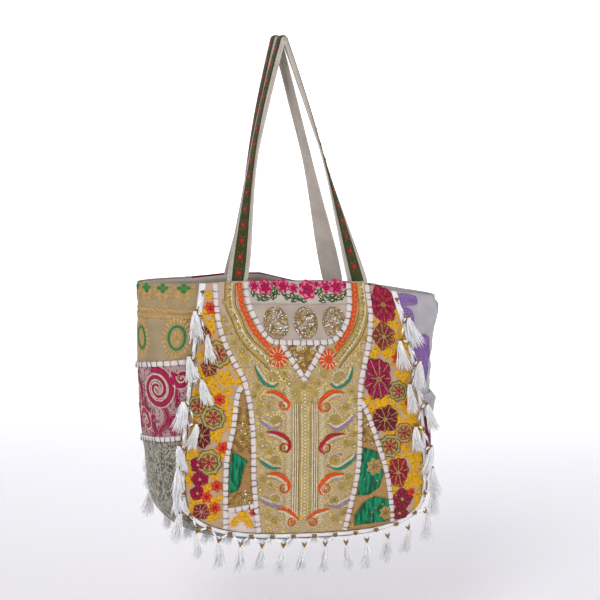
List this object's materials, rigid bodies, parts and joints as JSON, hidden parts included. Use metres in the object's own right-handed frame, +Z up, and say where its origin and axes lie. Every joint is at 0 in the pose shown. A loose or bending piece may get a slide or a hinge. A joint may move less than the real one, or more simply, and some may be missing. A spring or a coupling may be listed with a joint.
{
  "type": "patchwork tote bag",
  "caption": "Patchwork tote bag of embroidered cloth pieces with stitched ribbons, two trimmed straps and a beaded tassel fringe along its seams, hanging by its straps.",
  "frame": {"origin": "the point under the bend of the two straps where the bag hangs", "axes": "+Z up along the hanging bag, front panel toward -Y, +X to the right of someone facing the front panel"},
  "size_m": [0.4767, 0.19, 0.8021],
  "materials": {
    "rose": "printed and embroidered cotton",
    "cream": "embroidered cotton",
    "sequin": "sequin-covered cloth",
    "gold": "metal-thread embroidery on pale silk",
    "yellow": "floral satin-stitch embroidery",
    "magenta": "floral satin-stitch embroidery",
    "brown": "brown-gold silk with metal thread",
    "green": "green satin applique",
    "tan": "embroidered tan cotton",
    "mauve": "printed cotton",
    "damask": "grey damask",
    "teal": "plain cotton",
    "maroon": "plain cotton",
    "silver": "grey satin",
    "ribbon": "cotton tape, blanket-stitched",
    "linen": "plain canvas webbing",
    "lining": "plain cotton lining",
    "trim": "woven trim with red sprigs",
    "white": "white cotton cord and tassels with brass seed beads"
  },
  "bodies": {
    "root": {"front_rose_band": "rose", "front_bib": "cream", "front_v_insert": "sequin", "front_yoke": "gold", "front_side_left": "yellow", "front_side_right": "magenta", "front_wedge_left": "brown", "front_wedge_right": "green", "front_hem_left": "yellow", "ribbon_neck": "ribbon", "ribbon_v": "ribbon", "ribbon_yoke_left": "ribbon", "ribbon_yoke_right": "ribbon", "ribbon_wedge_left": "ribbon", "ribbon_wedge_right": "ribbon", "ribbon_wedge_hem": "ribbon", "back_panel": "maroon", "gusset_left_upper": "tan", "gusset_left_middle": "mauve", "gusset_left_lower": "damask", "gusset_bottom_left": "teal", "gusset_bottom_right": "maroon", "gusset_right_lower": "maroon", "gusset_right_upper": "silver", "ribbon_gusset_left_1": "ribbon", "ribbon_gusset_left_2": "ribbon", "ribbon_gusset_right": "silver", "piping_front": "white", "piping_back": "white", "fringe_front": "white", "fringe_back": "white", "strap_front": "linen", "strap_front_trim": "trim", "strap_back": "linen", "strap_back_trim": "trim", "lining": "lining"}
  },
  "joints": []
}
